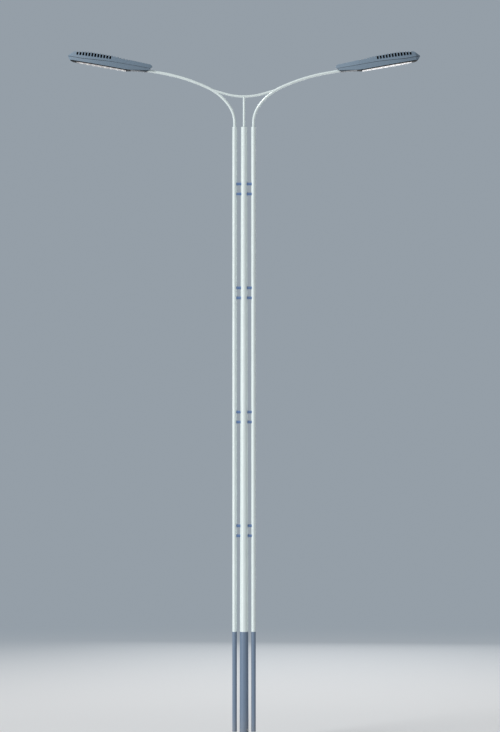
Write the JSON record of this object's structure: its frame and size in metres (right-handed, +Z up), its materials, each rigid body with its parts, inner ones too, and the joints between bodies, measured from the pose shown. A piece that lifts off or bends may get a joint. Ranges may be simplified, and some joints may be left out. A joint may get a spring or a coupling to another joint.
{
  "type": "double-arm street light",
  "caption": "Street light on a tapered pole between two side pipes, each curving out as an arm to a long flat LED lamp head, with a round bolted base flange.",
  "frame": {"origin": "centre of the base flange's lower face", "axes": "+Z up along the centre pole, -X to the left arm and +X to the right arm, +Y to the back where the service door is"},
  "size_m": [4.5776, 0.42, 8.9688],
  "materials": {
    "white_paint": "white gloss paint on galvanised steel, slightly weathered",
    "band_paint": "blue-grey gloss paint on steel",
    "spacer_paint": "blue gloss paint on steel",
    "head_paint": "blue-grey powder coat on die-cast aluminium, fine texture",
    "dark_paint": "dark grey powder coat, matt",
    "black_aluminium": "black anodised, matt",
    "lens": "clear moulded lens plate over pale LED boards",
    "zinc_steel": "hot-dip zinc on the anchor studs, nuts and washers, and stainless screws"
  },
  "bodies": {
    "root": {"base_flange": "band_paint", "base_gussets": "band_paint", "centre_pole": "white_paint", "centre_pole_cap": "white_paint", "service_door": "band_paint", "cross_link": "white_paint", "centre_rod": "white_paint", "left_pipe": "white_paint", "left_pipe_cap": "white_paint", "left_pipe_foot_cap": "band_paint", "left_arm": "white_paint", "left_head_housing": "head_paint", "left_head_ribbed_cover": "head_paint", "left_head_heat_sink": "black_aluminium", "left_head_lens_tray": "black_aluminium", "left_head_lens_panel": "lens", "left_head_lens_plates": "lens", "left_head_driver_cover": "dark_paint", "left_spacer_1_upper": "spacer_paint", "left_spacer_1_lower": "spacer_paint", "left_spacer_2_upper": "spacer_paint", "left_spacer_2_lower": "spacer_paint", "left_spacer_3_upper": "spacer_paint", "left_spacer_3_lower": "spacer_paint", "left_spacer_4_upper": "spacer_paint", "left_spacer_4_lower": "spacer_paint", "right_pipe": "white_paint", "right_pipe_cap": "white_paint", "right_pipe_foot_cap": "band_paint", "right_arm": "white_paint", "right_head_housing": "head_paint", "right_head_ribbed_cover": "head_paint", "right_head_heat_sink": "black_aluminium", "right_head_lens_tray": "black_aluminium", "right_head_lens_panel": "lens", "right_head_lens_plates": "lens", "right_head_driver_cover": "dark_paint", "right_spacer_1_upper": "spacer_paint", "right_spacer_1_lower": "spacer_paint", "right_spacer_2_upper": "spacer_paint", "right_spacer_2_lower": "spacer_paint", "right_spacer_3_upper": "spacer_paint", "right_spacer_3_lower": "spacer_paint", "right_spacer_4_upper": "spacer_paint", "right_spacer_4_lower": "spacer_paint"}
  },
  "joints": []
}
